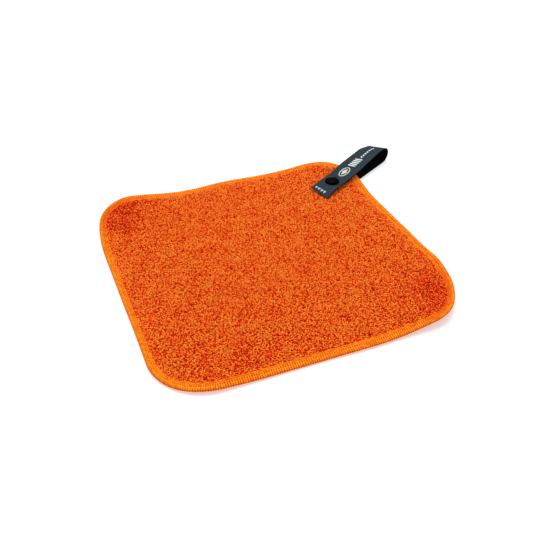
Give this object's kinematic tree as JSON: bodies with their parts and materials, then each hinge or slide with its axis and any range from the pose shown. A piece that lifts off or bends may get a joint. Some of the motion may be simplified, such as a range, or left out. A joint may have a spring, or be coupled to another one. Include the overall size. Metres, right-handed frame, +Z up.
{
  "type": "quick dry towel",
  "caption": "Square microfibre terry towel with an overlocked edge, and a webbing loop with a pull tab at one corner that a ring-spring snap closes.",
  "frame": {"origin": "centre of the towel's underside, on the surface it lies on", "axes": "+Z up, X and Y along the edges of the towel, the strap leaves the corner at +X +Y"},
  "size_m": [0.3028, 0.254, 0.017],
  "materials": {
    "ground_yarn": "knitted microfibre ground, matte",
    "terry_pile": "microfibre terry loops, matte, mottled",
    "overlock_thread": "textured polyester overlock thread",
    "strap_webbing": "fine-weave nylon ribbon, slate blue-grey",
    "tack_thread": "dark polyester sewing thread",
    "print_ink": "off-white printed ink",
    "snap_black": "glossy black enamel",
    "snap_metal": "blackened brass",
    "spring_wire": "spring wire"
  },
  "bodies": {
    "towel": {"ground_cloth": "ground_yarn", "face_pile": "terry_pile", "back_pile": "terry_pile", "edge_upper_looper": "overlock_thread", "edge_lower_looper": "overlock_thread", "edge_needle_thread": "overlock_thread", "strap_sewn_end": "strap_webbing", "bar_tack_inner": "tack_thread", "bar_tack_outer": "tack_thread", "snap_stud": "snap_metal", "snap_post": "snap_metal"},
    "strap_lower": {"strap_lower_leg": "strap_webbing"},
    "loop_bend": {"strap_bend": "strap_webbing"},
    "strap_upper": {"strap_upper_leg": "strap_webbing", "printed_badge": "print_ink", "printed_bars": "print_ink", "snap_cap": "snap_black", "snap_cap_barrel": "snap_metal", "snap_socket": "snap_metal", "snap_ring_spring": "spring_wire"},
    "tab": {"pull_tab": "strap_webbing", "printed_tab_arrows": "print_ink"}
  },
  "joints": [
    {"name": "strap_open", "type": "hinge", "parent": "strap_lower", "child": "loop_bend", "pos_m": [0.16832, 0.11574, 0.00326], "axis": [-0.4772, 0.8788, 0], "range_deg": [0, 80]},
    {"name": "strap_unroll", "type": "hinge", "parent": "loop_bend", "child": "strap_upper", "pos_m": [0.16832, 0.11574, 0.01414], "axis": [-0.4772, 0.8788, 0], "range_deg": [0, 80]},
    {"name": "strap_lift", "type": "hinge", "parent": "towel", "child": "strap_lower", "pos_m": [0.12864, 0.0942, 0.001], "axis": [0.4772, -0.8788, 0], "range_deg": [0, 24]},
    {"name": "pull_tab_flex", "type": "hinge", "parent": "strap_upper", "child": "tab", "pos_m": [0.0898, 0.07311, 0.009], "axis": [-0.4772, 0.8788, 0], "range_deg": [0, 70]}
  ],
  "couplings": [
    {"joint": "strap_unroll", "follows": "strap_open", "ratio": 1},
    {"joint": "strap_lift", "follows": "strap_open", "ratio": 0.3}
  ]
}
